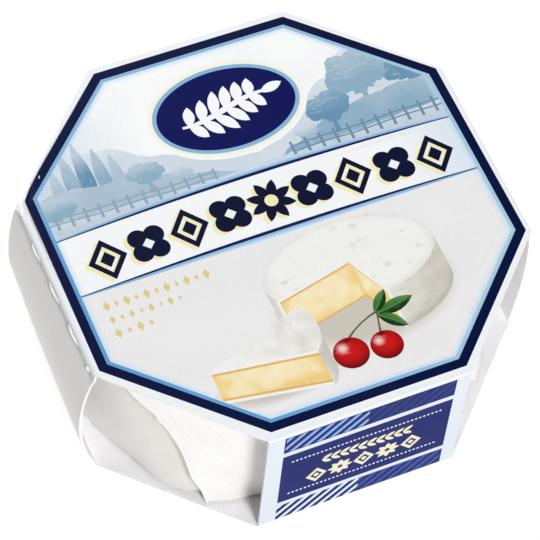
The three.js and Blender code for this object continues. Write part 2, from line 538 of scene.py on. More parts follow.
def landscape():
    """Hills, trees and a pasture fence in blue washes, from the farthest to the nearest."""
    inks = hill([24, 27.5, 26, 21, 17.5, 15, LAND_FOOT], -44, 12, MIST, SKY_EDGE, 20, 28, 2.0)
    inks += hill([LAND_FOOT, 16, 21, 26.5, 32, 35, 34], -2, 44, MIST, SKY_EDGE, 18, 34, 2.7)
    for x, tall, width, tone in (
        (-36.6, 9.0, 2.7, HILL), (-33.6, 12.0, 3.0, WOOD), (-30.6, 13.5, 3.1, WOOD_DARK),
        (-27.4, 11.0, 2.9, WOOD), (-24.6, 8.6, 2.6, HILL),
    ):
        inks += poplar(x, 16.0, tall, width, tone, HILL_PALE, abs(x))
    inks += hill([18.5, 19.5, 18.5, 16.8, 14.4, 12, LAND_FOOT], -44, 8, HILL, HILL_PALE, 14, 24, 3.3)
    inks += tree(38.2, 15.0, 16.0, 13.0, WOOD_DARK, WOOD, 8.1)
    inks += tree(28.2, 15.6, 16.5, 13.5, WOOD, HILL, 6.4)
    inks += hill([LAND_FOOT, 14, 17.5, 19.5, 20.5, 20.0], 2, 44, WOOD, HILL, 13, 25, 4.1)
    for x, foot, tall, width, dark, light, seed in (
        (-19.4, 13.4, 7.6, 8.4, WOOD, HILL_PALE, 4.1), (-13.0, 12.6, 4.8, 5.4, HILL, MIST, 6.1),
        (19.8, 13.6, 10.6, 10.2, WOOD_DARK, WOOD, 7.1), (13.6, 12.6, 5.4, 5.6, WOOD, MIST, 9.9),
        (-38.5, 11.6, 7.6, 8.6, WOOD, HILL_PALE, 5.1),
    ):
        inks += tree(x, foot, tall, width, dark, light, seed)
    meadow = [13.4, 13.0, 12.4, 12.2, 12.0, 12.4, 12.8, 13.4, 13.8]
    inks += hill(meadow, -44, 44, HILL_PALE, MIST, 10, 14, 5.9)
    inks += fence(-42.5, -7.0, 11.6, 11.0, 2.9, 3.0, LINE_FAINT)
    inks += fence(9.5, 43.0, 11.0, 11.4, 2.9, 3.4, LINE_WASH)
    return inks


# The oval badge of the top with a leafy spray in it.
BADGE = (1.0, 26.6)
BADGE_NAVY = (14.3, 9.2)
BADGE_RIM = (15.15, 10.05)
BADGE_GLOW = (16.6, 11.5)
BADGE_POINTS = 72
SPRAY_STEPS = 14
SPRAY_PAIRS = 6


def badge():
    cx, cy = BADGE

    def glow(x, y):
        out = hypot((x - cx) / BADGE_GLOW[0], (y - cy) / BADGE_GLOW[1])
        inner = BADGE_RIM[0] / BADGE_GLOW[0]
        return mix(PALE_GLOW, sky_colour(x, y), smooth(inner, 1, out))

    ovals = ((BADGE_GLOW, glow), (BADGE_RIM, RIM_BLUE), (BADGE_NAVY, OVAL_NAVY))
    inks = [Ink(oval(cx, cy, *size, BADGE_POINTS), colour) for size, colour in ovals]
    shares = [i / SPRAY_STEPS for i in range(SPRAY_STEPS + 1)]
    stem = [(lerp(-9.8, 9.4, t), 1.5 * sin(lerp(-1.9, 1.9, t))) for t in shares]
    widths = [0.5 + 0.8 * sin(pi * i / SPRAY_STEPS) for i in range(SPRAY_STEPS + 1)]
    inks.append(Ink(moved(stroke(stem, widths), cx, cy), BAND_LIGHT))
    for k in range(SPRAY_PAIRS):
        x, y = stem[min(SPRAY_STEPS - 1, int((k + 0.9) / 7.2 * SPRAY_STEPS))]
        long = 6.0 * (1 - 0.11 * abs(k - 2.2))
        for side in (1, -1):
            shape = leaf(long, 2.35, bend=0.6 * side)
            inks.append(Ink(placed(shape, cx + x, cy + y, side * radians(55) + 0.2), BAND_LIGHT))
    x, y = stem[-1]
    inks.append(Ink(placed(leaf(5.0, 2.2), cx + x - 1.6, cy + y - 0.15, 0.2), BAND_LIGHT))
    return inks


# The frieze across the band.
FRIEZE_PITCH = 8.55
FRIEZE_MIDDLE = (0.7, 3.5)
FRIEZE_SHADOW = (-0.85, -0.4)
FRIEZE_ARCH = 0.0011


def motif_lozenge():
    return [
        Ink(lozenge(7.9, 9.4), MOTIF_NAVY, hole=lozenge(5.1, 6.1)),
        Ink(lozenge(3.1, 3.7), MOTIF_NAVY),
    ]


def motif_quatrefoil():
    corners = [pi * (2 * k + 1) / 4 for k in range(4)]
    lobes = [oval(2.3 * cos(a), 2.3 * sin(a), 2.05, 2.05, 32) for a in corners]
    inks = [Ink(shape, MOTIF_NAVY) for shape in (*lobes, oval(0, 0, 1.9, 1.9, 24))]
    return inks + [Ink(lozenge(2.5, 2.5), BAND_WHITE)]


def motif_rosette():
    turns = [2 * pi * (k + 0.5) / 8 for k in range(8)]
    petals = [Ink(placed(leaf(4.9, 2.1), 0, 0, turn), MOTIF_NAVY) for turn in turns]
    return petals + [Ink(oval(0, 0, 1.35, 1.35, 20), GOLD_PALE)]


def frieze():
    half = [motif_lozenge, motif_quatrefoil] * 2
    order = half + [motif_rosette] + half[::-1]
    shadows, motifs = [], []
    for k, motif in enumerate(order):
        x = FRIEZE_MIDDLE[0] + FRIEZE_PITCH * (k - len(order) // 2)
        y = FRIEZE_MIDDLE[1] - FRIEZE_ARCH * x * x
        for ink in motif():
            motifs.append(ink.at(x, y))
            shadows.append(motifs[-1].at(*FRIEZE_SHADOW, GOLD_PALE))
    return shadows + motifs


def fading(curve):
    """The glow of a line of the band, paler away from it."""
    def shade(x, y):
        return mix(LINE_GLOW, LINE_GLOW_END, abs(y - curve(x)) / 1.5)
    return shade


def band_lines():
    """The two navy lines that taper to the sides, with a blue glow beside each."""
    inks = []
    for curve, away in ((band_top, 1), (band_foot, -1)):
        xs = [lerp(-BAND_HALF, BAND_HALF, i / BAND_STEPS) for i in range(BAND_STEPS + 1)]
        thick = [0.16 + 0.56 * (1 - abs(x / BAND_HALF) ** 1.5) for x in xs]
        soft = [0.2 + 0.9 * (1 - abs(x / BAND_HALF) ** 1.3) for x in xs]
        line = [(x, curve(x)) for x in xs]
        edge = [(x, curve(x) + away * (t / 2 + s)) for x, t, s in zip(xs, thick, soft)]
        inks.append(Ink(line + edge[::-1], fading(curve)))
        inks.append(Ink(stroke(line, thick), LINE_NAVY))
    return inks


GOLD_LEFT = -37.6
GOLD_PITCH = 2.05


def gold_rows():
    """Three rows of small gold lozenges under the band, at the left."""
    inks = []
    for end, y, size in ((-17.4, -7.4, 2.3), (-24.0, -10.5, 1.9), (-31.0, -13.6, 2.3)):
        count = round((end - GOLD_LEFT) / GOLD_PITCH)
        for k in range(count + 1):
            x = lerp(GOLD_LEFT, end, k / count)
            tall = size * (1.0 if k % 2 == 0 else 0.6)
            inks.append(Ink(moved(lozenge(tall * 0.62, tall), x, y), GOLD))
    return inks


# The picture below the band: a round cheese with a wedge cut out, the wedge before
# it, and two cherries with their leaves.
WHEEL = (9.0, -14.2)
WHEEL_RX = 17.6
WHEEL_RY = 9.2
WHEEL_DEEP = 8.6
CUT_FROM = radians(203)
CUT_TO = radians(284)


def cast_shadow(cx, cy, rx, ry, dark, light):
    """The field's colour, with a soft oval shadow that ends within the given shares."""
    def shade(x, y):
        out = hypot((x - cx) / rx, (y - cy) / ry)
        return mix(RIND_SHADE, field_colour(x, y), smooth(dark, light, out))
    return shade


def curd(x0, x1, y0, y1, seed):
    """Yellow curd: paler at its middle, deeper near the rind."""
    def shade(x, y):
        u = clamp((x - x0) / (x1 - x0))
        v = clamp((y - y0) / (y1 - y0))
        rim = max(abs(2 * v - 1) ** 3, abs(2 * u - 1) ** 5)
        t = 0.2 + 0.7 * rim + 0.4 * mottle(x, y, 2.4, seed)
        return mix(mix(CURD_PALE, CURD, t * 1.7), CURD_DEEP, t - 0.35)
    return shade


def rind_tone(t):
    """From white rind through grey to shaded rind."""
    return mix(mix(RIND, RIND_GREY, 2 * t), RIND_SHADE, 2 * t - 1)


def rind(light_x, dark_x, seed, depth):
    """White rind that turns grey towards one side, with faint dimples."""
    def shade(x, y):
        t = depth * smooth(light_x, dark_x, x) + 0.35 * mottle(x, y, 2.6, seed)
        spot = smooth(0.42, 0.7, mottle(x, y, 1.5, seed + 4))
        return mix(rind_tone(t), RIND_DARK, 0.3 * spot)
    return shade


def wheel_rim(start, end, drop=0.0, count=24):
    """Points of the wheel's edge between two directions, lowered by drop."""
    cx, cy = WHEEL
    steps = [lerp(start, end, i / count) for i in range(count + 1)]
    return [(cx + WHEEL_RX * cos(a), cy - drop + WHEEL_RY * sin(a)) for a in steps]


def rind_creases(count, start, end):
    """Short fine creases along the wheel's side."""
    inks = []
    widths = [0.05, 0.16, 0.2, 0.2, 0.14, 0.05]
    colour = mix(RIND_GREY, RIND_DARK, 0.45)
    for k in range(count):
        a = lerp(start, end, (k * 0.618) % 1)
        long = 0.1 + 0.09 * sin(3.7 * k) ** 2
        drop = WHEEL_DEEP * (0.14 + 0.78 * (k * 0.387) % 0.8)
        path = wheel_rim(a, min(a + long, end), drop, len(widths) - 1)
        inks.append(Ink(stroke(path, widths), colour))
    return inks


def wheel_picture():
    cx, cy = WHEEL
    foot = cy - WHEEL_DEEP
    ground = cast_shadow(cx, foot, WHEEL_RX + 3, WHEEL_RY + 3, 0.66, 0.97)

    def cut_ground(x, y):
        return mix(RIND_SHADE, ground(x, y), 0.5 + smooth(-20, -30, y))

    def top(x, y):
        rim = hypot((x - cx) / WHEEL_RX, (y - cy) / WHEEL_RY)
        t = 0.55 * smooth(0.86, 1.0, rim) + 0.25 * mottle(x, y, 3.4, 6.2)
        spot = smooth(0.38, 0.62, mottle(x, y, 1.7, 8.8))
        return mix(mix(RIND, RIND_GREY, t), RIND_DARK, 0.3 * spot)

    def side_colour(x, y):
        turn = clamp((x - cx) / WHEEL_RX, -1, 1)
        t = 0.35 + 0.6 * smooth(-0.1, 1.0, turn) + 0.3 * smooth(-0.7, -1.0, turn)
        t += 0.3 * mottle(x, y, 2.2, 1.4)
        near_foot = foot - WHEEL_RY * sqrt(max(0, 1 - turn * turn)) - y
        return mix(rind_tone(t), RIND_DARK, 0.5 * smooth(-2.2, 0, near_foot))

    start = wheel_rim(CUT_FROM, CUT_FROM)[0]
    stop = wheel_rim(CUT_TO, CUT_TO)[0]
    lower_rim = wheel_rim(pi, 2 * pi, WHEEL_DEEP, 40)
    side = [(cx - WHEEL_RX, cy), *lower_rim, (cx + WHEEL_RX, cy), (cx, cy + 1)]
    opening = [(cx, cy), start, *wheel_rim(CUT_FROM, CUT_TO, WHEEL_DEEP + 0.4), stop]
    inks = [
        Ink(oval(cx + 1, foot - 0.6, WHEEL_RX + 3, WHEEL_RY + 1.6, 60), ground),
        Ink(side, side_colour),
        *rind_creases(13, CUT_TO + 0.1, radians(352)),
        Ink(oval(cx, cy, WHEEL_RX, WHEEL_RY, 72), top),
        Ink(opening, cut_ground),
    ]
    for (px, py), seed in ((start, 3.0), (stop, 7.0)):
        face = [(cx, cy), (px, py), (px, py - WHEEL_DEEP), (cx, foot)]
        x0, x1 = min(cx, px) - 0.1, max(cx, px) + 0.1
        inks.append(Ink(face, curd(x0, x1, foot - 2, cy, seed)))
        for drop, width, colour in ((0.7, 0.5, CURD_EDGE), (0.25, 0.6, RIND)):
            inks.append(Ink(stroke([(cx, cy - drop), (px, py - drop)], width), colour))
        inks.append(Ink(stroke([(cx, foot + 0.2), (px, py - WHEEL_DEEP + 0.2)], 0.4), CURD_EDGE))
        inks.append(Ink(stroke([(px, py), (px, py - WHEEL_DEEP)], 0.55), RIND))
    return inks


WEDGE_TIP = (-25.0, -27.6)
WEDGE_MIDDLE = (-5.2, -25.4)
WEDGE_DEEP = 8.0
WEDGE_SHADOW = (-14, -34.2, 14.5, 4.6)


def wedge_picture():
    ax, ay = WEDGE_TIP
    mx, my = WEDGE_MIDDLE
    turns = [radians(lerp(-75, 80, i / 12)) for i in range(13)]
    arc = [(mx + 3.0 * cos(a), my + 5.2 * sin(a)) for a in turns]
    top = [WEDGE_TIP, *arc]
    near = arc[0]
    side = [near, *arc[:8], *[(x, y - WEDGE_DEEP) for x, y in arc[:8][::-1]]]
    cut = [WEDGE_TIP, near, (near[0], near[1] - WEDGE_DEEP + 0.4), (ax, ay - WEDGE_DEEP + 1.0)]

    inks = [
        Ink(oval(*WEDGE_SHADOW, 48), cast_shadow(*WEDGE_SHADOW, 0.55, 1.0)),
        Ink(side[1:], rind(mx - 1.4, mx + 3.0, 3.6, 1.1)),
        Ink(top, rind(-24, 4, 2.2, 0.35)),
        Ink(cut, curd(ax, near[0], ay - WEDGE_DEEP, ay, 11.0)),
    ]
    foot_left, foot_right = ay - WEDGE_DEEP + 0.8, near[1] - WEDGE_DEEP + 0.2
    for rise, width, colour in ((-0.8, 0.5, CURD_EDGE), (-0.25, 0.65, RIND)):
        inks.append(Ink(stroke([(ax, ay + rise), (near[0], near[1] + rise)], width), colour))
        inks.append(Ink(stroke([(ax, foot_left - rise), (near[0], foot_right - rise)], width), colour))
    return inks


def cherry(cx, cy, radius):
    def shade(x, y):
        u, v = (x - cx) / radius, (y - cy) / radius
        edge = smooth(0.35, 1.0, hypot(u, v))
        low = smooth(0.1, -0.9, v)
        t = 0.55 * edge + 0.45 * low
        shine = 1 - smooth(0.08, 0.42, hypot(u + 0.35, v - 0.4))
        return mix(mix(CHERRY, CHERRY_DARK, t), CHERRY_SHINE, 0.85 * shine)
    return Ink(oval(cx, cy, radius, radius * 0.97, 36), shade)


def leaf_picture(x, y, turn, length, width, bend):
    def shade(px, py):
        c, s = cos(turn), sin(turn)
        u, v = c * (px - x) + s * (py - y), -s * (px - x) + c * (py - y)
        side = (v - bend * (u / length) ** 2) / (width / 2)
        return mix(LEAF_DARK, mix(LEAF, LEAF_LIGHT, u / length), smooth(-0.5, 0.6, side))
    vein = [(length * 0.97 * t, bend * t * t) for t in (0, 0.3, 0.6, 0.9)]
    return [
        Ink(placed(leaf(length, width, bend), x, y, turn), shade),
        Ink(placed(stroke(vein, [0.22, 0.18, 0.14, 0.08]), x, y, turn), LEAF_LIGHT),
    ]


STEM_JOIN = (9.4, -26.6)


def cherry_picture():
    inks = []
    for x, y, turn, length, width, bend in (
        (9.2, -27.0, radians(4), 8.0, 2.9, 0.7),
        (9.0, -27.2, radians(-38), 6.4, 2.5, -0.5),
        (8.8, -26.7, radians(42), 5.6, 2.3, 0.5),
    ):
        inks += leaf_picture(x, y, turn, length, width, bend)
    for (x, y), lean in (((1.6, -30.4), 2.3), ((8.2, -31.0), 0.9)):
        path = []
        for t in (0, 0.25, 0.5, 0.75, 1):
            path.append((lerp(x, STEM_JOIN[0], t), lerp(y, STEM_JOIN[1], t) + lean * t * (1 - t)))
        inks.append(Ink(stroke(path, [0.5, 0.36, 0.32, 0.34, 0.5]), STEM))
    inks.append(cherry(8.2, -33.9, 3.2))
    inks.append(cherry(1.2, -33.2, 3.5))
    for x, y in ((8.2, -31.3), (1.5, -30.4)):
        inks.append(Ink(oval(x, y, 0.75, 0.34, 12), CHERRY_DARK))
    return inks


# A rectangle that reaches past the board on all sides, and the fleck near the bent
# corner, where the ink has rubbed off.
BEYOND = 50
FIELD_STEPS = 40
SCUFF = (-38.95, 24.4)
SCUFF_SIZE = (0.15, 0.4)
SCUFF_TURN = radians(-20)


def top_print():
    """The inks of the top, from the lowest to the uppermost."""
    across = [lerp(-BAND_HALF - 1, BAND_HALF + 1, i / FIELD_STEPS) for i in range(FIELD_STEPS + 1)]
    upper = [(x, band_top(x)) for x in across]
    lower = [(x, band_foot(x)) for x in across]
    under_border = border_sides(NAVY_WIDE - 0.2)
    back_corners = [(HALF_WIDTH, HALF_WIDTH), (-HALF_WIDTH, HALF_WIDTH)]
    upper_field = clipped(upper + back_corners, under_border)
    band_field = clipped(upper[::-1] + lower, under_border)
    inks = [
        Ink(rectangle(-BEYOND, -BEYOND, BEYOND, BEYOND), WHITE),
        Ink(border(NAVY_WIDE), with_glow(field_colour)),
        Ink(upper_field, with_glow(sky_colour)),
        *landscape(),
        Ink(band_field, with_glow(band_colour)),
        *band_lines(), *badge(), *frieze(), *gold_rows(),
        *wheel_picture(), *wedge_picture(), *cherry_picture(),
        Ink(border(NAVY_WIDE - 0.3), border_blue, hole=border(BLUE_END)),
        Ink(border(0), NAVY, hole=border(NAVY_WIDE)),
        Ink(placed(oval(0, 0, *SCUFF_SIZE, 8), *SCUFF, SCUFF_TURN), WOOD_LIGHT),
    ]
    return [ink for ink in inks if ink.outline]


# Print of the front label, measured sideways from the middle and down from the top.
LABEL_LEFT = -17.2
LABEL_RIGHT = 17.8
LABEL_ROWS = ((-1.3, -7.0), (-8.4, -26.4), (-27.7, -33.0))
STRIPE_PITCH = 2.75
DOTS_IN_ROW = 37
DOT_RADIUS = 0.27
DOT_ROWS = (-11.4, -23.8)
DOTS_LEFT = -15.0
DOTS_RIGHT = 15.5
LEAF_ROW = -14.8
MOTIF_ROW = -20.0


def stripes(x0, x1, high, low, start, end, colour):
    """Slanted stripes across a bar of the label, from start to end of each pitch."""
    inks = []
    tall = high - low
    count = int((x1 - x0 + tall) / STRIPE_PITCH) + 2
    for k in range(count):
        x = x0 - tall + STRIPE_PITCH * (k - 1)
        near, far = x + STRIPE_PITCH * start, x + STRIPE_PITCH * end
        bar = [(near, low), (far, low), (far + tall, high), (near + tall, high)]
        shape = clipped(bar, box_sides(x0, low, x1, high))
        if shape and abs(signed_area(shape)) > 0.02:
            inks.append(Ink(shape, colour))
    return inks


def label_print():
    """The inks of the label: three navy bars, the outer two striped, and the middle one's motifs."""
    inks = [Ink(rectangle(-HALF_PANEL - 1, -HEIGHT, HALF_PANEL + 1, 0), LABEL_WHITE_SHADED)]
    for high, low in LABEL_ROWS:
        inks.append(Ink(rectangle(LABEL_LEFT, low, LABEL_RIGHT, high), LABEL_NAVY))
    (bar_high, bar_low), _, (foot_high, foot_low) = LABEL_ROWS
    bar = (bar_high - 0.25, bar_low + 0.2)
    inks.append(Ink(rectangle(LABEL_LEFT, bar_low, 0, bar_high), LABEL_DEEP))
    for start, end, colour in ((0.0, 0.66, LABEL_STRIPE), (0.2, 0.56, LABEL_CORE)):
        inks += stripes(LABEL_LEFT + 0.3, -0.1, *bar, start, end, colour)
    inks += stripes(0, LABEL_RIGHT - 0.3, *bar, 0.0, 0.5, LABEL_FAINT)
    inks.append(Ink(rectangle(LABEL_LEFT, foot_low, 0, foot_high), LABEL_DEEP))
    layers = ((0.0, 0.62, LABEL_STRIPE), (0.08, 0.54, LABEL_ICE), (0.2, 0.42, LABEL_PALE))
    for start, end, colour in layers:
        inks += stripes(LABEL_LEFT, 0, foot_high, foot_low, start, end, colour)
    inks += stripes(0, LABEL_RIGHT - 0.3, foot_high - 0.2, foot_low + 0.2, 0.0, 0.5, LABEL_MID)
    for row in DOT_ROWS:
        for k in range(DOTS_IN_ROW):
            x = lerp(DOTS_LEFT, DOTS_RIGHT, k / (DOTS_IN_ROW - 1))
            inks.append(Ink(oval(x, row, DOT_RADIUS, DOT_RADIUS, 8), LABEL_PALE))
    inks += label_leaves() + label_motifs()
    return inks


def label_leaves():
    inks = []
    for k in range(10):
        x = lerp(-8.8, 8.0, k / 9)
        for side in (1, -1):
            inks.append(Ink(placed(leaf(2.5, 1.0), x, LEAF_ROW, side * radians(36)), CREAM))
    return inks


def label_motifs():
    """Lozenges and eight-pointed stars in turn."""
    ring = [Ink(lozenge(4.4, 5.3), CREAM, hole=lozenge(2.5, 3.0)), Ink(lozenge(1.3, 1.6), CREAM)]
    star = [Ink(placed(leaf(2.6, 1.2), 0, 0, pi * petal / 4), CREAM) for petal in range(8)]
    star.append(Ink(oval(0, 0, 0.55, 0.55, 12), LABEL_NAVY))
    inks = []
    for k in range(5):
        x = lerp(-9.6, 10.2, k / 4)
        inks += [ink.at(x, MOTIF_ROW) for ink in (star if k % 2 else ring)]
    return inks


# The carton's shell. Each side has stations along it and rows over it, from the
# bottom board round the lower fold, up the panel and round the upper fold.
BOARD = 0.5
FOLD = 0.8
FOLD_ROWS = 4
PANEL_ROWS = 22
BOW_LEFT = (3.1, 1.9)
BOW_RIGHT = (1.1, 3.1)
SLITS = ((17.4, 20.6), (7.0, 11.8), (-3.2, 2.7), (-13.0, -7.4), (-18.7, -17.3))
SLIT_TALL = 0.45
LIP_PUSH = 0.5
LIP_SIZE = 0.5
GAPE = 0.8
SCORE_DROP = 1.95
SCORE_DEEP = 0.34
SCORE_WIDE = 0.85
TOE_LEFT = 0.8
TOE_FROM = 5
TOE_TO = 17


def panel_reach(z, bow):
    across = 2 * z / HEIGHT - 1
    score = SCORE_DEEP * exp(-((HEIGHT - SCORE_DROP - z) / SCORE_WIDE) ** 2) if bow else 0
    return HALF_WIDTH + bow * (1 - across * across) - score


def side_rows(bow):
    """The points (reach, z) of one side's profile, from bottom to top."""
    def fold():
        end = panel_reach(FOLD, bow)
        for i in range(FOLD_ROWS):
            t = i / FOLD_ROWS
            a, b, c = (1 - t) ** 2, 2 * t * (1 - t), t * t
            reach = a * (HALF_WIDTH - FOLD) + b * HALF_WIDTH + c * end
            yield reach, c * FOLD
    rows = list(fold())
    heights = [lerp(FOLD, HEIGHT - FOLD - SLIT_TALL, i / PANEL_ROWS) for i in range(PANEL_ROWS + 1)]
    fine = [HEIGHT - SCORE_DROP + 0.25 * k for k in range(-5, 3)]
    heights = [h for h in heights if min(abs(h - f) for f in fine) > 0.2]
    heights = sorted(heights + fine + [HEIGHT - FOLD])
    rows += [(panel_reach(z, bow), z) for z in heights]
    rows += [(reach, HEIGHT - z) for reach, z in reversed(list(fold()))]
    return rows


def stations(cuts=()):
    """Places along a side from -1 to 1, among them the ends of its slits."""
    even = [lerp(-1, 1, i / 24) for i in range(25)]
    inner = [lerp(*cut, i / 8) / HALF_PANEL for cut in cuts for i in range(9)]
    kept = [t for t in even if all(abs(t - e) > 0.02 for e in inner)]
    return sorted(set(kept + inner + [-1.0, 1.0]))


class Shell:
    """Points with their outward directions, and faces with the colours of their corners."""

    def __init__(self):
        self.points = []
        self.normals = []
        self.faces = []
        self.colours = []
        self.index = {}

    def point(self, place, normal):
        key = tuple(round(c, 4) for c in place)
        if key not in self.index:
            self.index[key] = len(self.points)
            self.points.append(Vector(place))
            self.normals.append(Vector((0, 0, 0)))
        i = self.index[key]
        self.normals[i] += Vector(normal)
        return i

    def face(self, corners, colours=None):
        if len(set(corners)) == len(corners):
            self.faces.append(tuple(corners))
            self.colours.append(colours)


def add_side(shell, turn, bows, places, white, toe=0.0, skip_panel=False, slits=()):
    """One straight side, drawn along +Y at reach +X and then turned about Z."""
    c, s = round(cos(turn)), round(sin(turn))

    def turned(v):
        return Vector((c * v.x - s * v.y, s * v.x + c * v.y, v.z))

    grid = []
    for t in places:
        along = (t + 1) / 2
        bow = lerp(bows[0], bows[1], along)
        rows = side_rows(bow)
        line, tones = [], []
        for i, (reach, z) in enumerate(rows):
            (ra, za), (rb, zb) = rows[max(0, i - 1)], rows[min(len(rows) - 1, i + 1)]
            if i in (0, len(rows) - 1):
                normal = Vector((0, 0, -1 if i == 0 else 1))
            else:
                normal = Vector((zb - za, 0, ra - rb)).normalized()
            place = Vector((reach, t * max(HALF_PANEL, CORNER - reach), z))
            opened = slit_opening(place.y, slits)
            drawn_in = toe * (1 - along) ** 3 * (1 - smooth(TOE_FROM, TOE_TO, z))
            place.x += lip_push(z) * opened - drawn_in
            line.append(shell.point(turned(place), turned(normal)))
            tones.append(side_tone(z, white, bow > 0, opened))
        grid.append((t, line, rows, tones))
    for (ta, a, rows, tone_a), (tb, b, _, tone_b) in zip(grid, grid[1:]):
        middle = (ta + tb) / 2 * HALF_PANEL
        for i in range(len(rows) - 1):
            z = (rows[i][1] + rows[i + 1][1]) / 2
            if skip_panel and FOLD < z < HEIGHT - FOLD:
                continue
            open_here = any(low < middle < high for low, high in slits)
            if open_here and HEIGHT - FOLD - SLIT_TALL < z < HEIGHT - FOLD:
                continue
            shell.face((a[i], b[i], b[i + 1], a[i + 1]),
                       [tone_a[i], tone_b[i], tone_b[i + 1], tone_a[i + 1]])
    return [line for _, line, _, _ in grid]


def slit_opening(along, slits):
    """How far open the slits are: one that runs out at the panel's end gapes there."""
    for low, high in slits:
        if low <= along <= high:
            if low <= -HALF_PANEL:
                return GAPE * smooth(high, low, along)
            return sin(pi * (along - low) / (high - low)) ** 0.55
    return 0.0


def lip_push(z):
    """How far the board just under a slit stands out."""
    edge = HEIGHT - FOLD - SLIT_TALL
    return LIP_PUSH * exp(-((edge - z) / LIP_SIZE) ** 2) if z < edge + 0.01 else 0.0


def side_tone(z, white, scored, opened):
    """White round the upper fold, painted shade a little greyer along the score, and the top's white
    again at a lip as a painted highlight.
    """
    if z > HEIGHT - FOLD - 0.01:
        return WHITE
    # Painted shade along the score; at a lip it gives way to white, a painted highlight.
    crease = exp(-((HEIGHT - SCORE_DROP - z) / SCORE_WIDE) ** 2) if scored else 0
    lip = min(1, 2 * opened) * smooth(HEIGHT - SCORE_DROP, HEIGHT - FOLD - SLIT_TALL, z)
    return mix(mix(white, PAINTED_SCORE_SHADE, crease), WHITE, lip)


def carton_shell():
    shell = Shell()
    plain = stations()
    left_places = [-t for t in reversed(stations(SLITS))]
    mirrored_slits = [(-high, -low) for low, high in SLITS]
    sides = [
        add_side(shell, 0, BOW_RIGHT, plain, BOARD_WHITE),
        add_side(shell, pi / 2, (0, 0), plain, WHITE, skip_panel=True),
        add_side(shell, pi, BOW_LEFT[::-1], left_places, BOARD_WHITE, TOE_LEFT,
                 slits=mirrored_slits),
        add_side(shell, -pi / 2, (0, 0), plain, WHITE, skip_panel=True),
    ]

    def rim(end):
        return [tuple(shell.points[line[end]].xy) for side in sides for line in side]

    add_flat(shell, rim(-1), lambda x, y: (x, y, HEIGHT), (0, 0, 1), top_print(), top_dots(),
             top_guides())
    add_flat(shell, rim(0), lambda x, y: (x, y, 0), (0, 0, -1), [], foot_dots(), flip=True)
    panel = [lerp(-HALF_PANEL, HALF_PANEL, (t + 1) / 2) for t in plain]
    outline = [(x, FOLD) for x in panel] + [(x, HEIGHT - FOLD) for x in reversed(panel)]
    lifted = [ink.at(0, HEIGHT) for ink in label_print()]
    dots = dots_in(*LABEL_AREA, LABEL_PITCH)
    add_flat(shell, outline, lambda x, z: (x, -HALF_WIDTH, z), (0, -1, 0), lifted, dots)
    add_flat(shell, outline, lambda x, z: (-x, HALF_WIDTH, z), (0, 1, 0), lifted, dots)
    return shell


def add_flat(shell, outline, place, normal, inks, dots, guides=(), flip=False):
    """One flat sheet of the shell, its points put in place by a function."""
    verts, tris, shown = print_sheet(outline, inks, guides, dots)
    known = [shell.point(place(x, y), normal) for x, y in verts]
    for tri, ink in zip(tris, shown):
        order = tri[::-1] if flip else tri
        colours = [ink.colour(*verts[i]) for i in order] if ink else None
        shell.face([known[i] for i in order], colours)


# Areas with extra points, as left, front, right and back, and how far apart the points
# are. The label's area is measured up from the bottom.
LAND_AREA = (-44, 11, 44, 44)
LAND_PITCH = 0.62
CHEESE_AREA = (-28, -39, 30, -5)
CHEESE_PITCH = 0.55
FIELD_AREA = (-44, -44, 44, 11)
FIELD_PITCH = 2.0
BENT_AREA = (-45, 12, -32, 34)
BENT_PITCH = 0.4
FOOT_AREA = (-40, -40, 40, 40)
FOOT_PITCH = 8
LABEL_AREA = (-19, 3, 19, 31)
LABEL_PITCH = 4


def foot_dots():
    return dots_in(*FOOT_AREA, FOOT_PITCH, lambda x, y: inset_at(x, y) > 3)


def top_guides():
    return [border(BLUE_END + 0.65), border(GLOW_END), border(GLOW_END + 1.2)]


def top_dots():
    """Extra points: close together in the pictures and at the bent corner."""
    def printed(x, y):
        return within_border(x, y) > 0.1

    def plain(x, y):
        left, front, right, back = CHEESE_AREA
        in_cheese = left < x < right and front < y < back
        return printed(x, y) and y < FIELD_AREA[3] and not in_cheese

    def margin(x, y):
        return inset_at(x, y) > 0.3 and within_border(x, y) < -0.1

    return [
        *dots_in(*LAND_AREA, LAND_PITCH, printed),
        *dots_in(*CHEESE_AREA, CHEESE_PITCH, printed),
        *dots_in(*FIELD_AREA, FIELD_PITCH, plain),
        *dots_in(*BENT_AREA, BENT_PITCH, margin),
    ]


# The board isn't quite flat, and the outer border of the top's back left corner is
# curled down.
WAVE = 0.14
CORNER_BENT = Vector((-HALF_WIDTH, HALF_PANEL, HEIGHT))
CURL = 1.2
CURL_SIZE = 3.4
CURL_INSET = 2.6


def settle(p):
    """Small unevenness of the folded board at a point."""
    lift = WAVE * noise.noise(Vector((p.x / 24, p.y / 24, 4.0 + p.z / 50)))
    side = WAVE * noise.noise(Vector((p.x / 26, p.y / 20, 9.0 + p.z / 22)))
    upper = smooth(4, HEIGHT, p.z)
    moved_by = Vector((side * (1 - abs(2 * p.z / HEIGHT - 1)), side * 0.3, lift * upper))
    curl = CURL * exp(-((p - CORNER_BENT).length / CURL_SIZE) ** 2)
    curl *= (1 - smooth(0, CURL_INSET, inset_at(p.x, p.y))) * smooth(HEIGHT - FOLD, HEIGHT, p.z)
    return moved_by + Vector((0.45 * curl, -0.3 * curl, -curl))


# Edges of a mesh that turn by more than these angles stay sharp.
BOARD_SHARP = radians(35)
PAPER_SHARP = radians(50)


